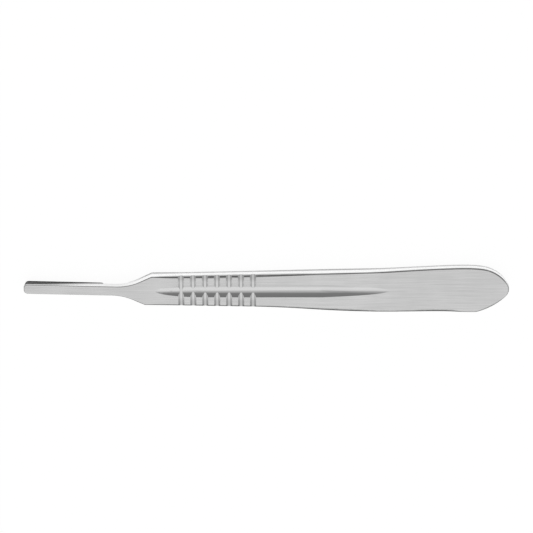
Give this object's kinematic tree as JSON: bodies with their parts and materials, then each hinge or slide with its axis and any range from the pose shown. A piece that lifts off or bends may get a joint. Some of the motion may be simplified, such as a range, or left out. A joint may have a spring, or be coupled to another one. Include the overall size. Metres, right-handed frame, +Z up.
{
  "type": "scalpel handle",
  "caption": "Flat forged steel scalpel handle with a cross-grooved grip, a long channel on each face, a rounded tail and a narrow tang with an undercut lug for a blade.",
  "frame": {"origin": "centre of the bounding box in X and Y, on the plane that the underside rests on", "axes": "+X along the handle from the blade tang to the rounded tail, +Y across it to the upper edge in the picture, +Z up out of the plain back face; the blade's lug is on the -Z side"},
  "size_m": [0.135, 0.0134, 0.0037],
  "materials": {
    "steel": "satin ground stainless steel, fine lengthwise grain on the faces, plainer forged side walls"
  },
  "bodies": {
    "root": {"handle": "steel"}
  },
  "joints": []
}
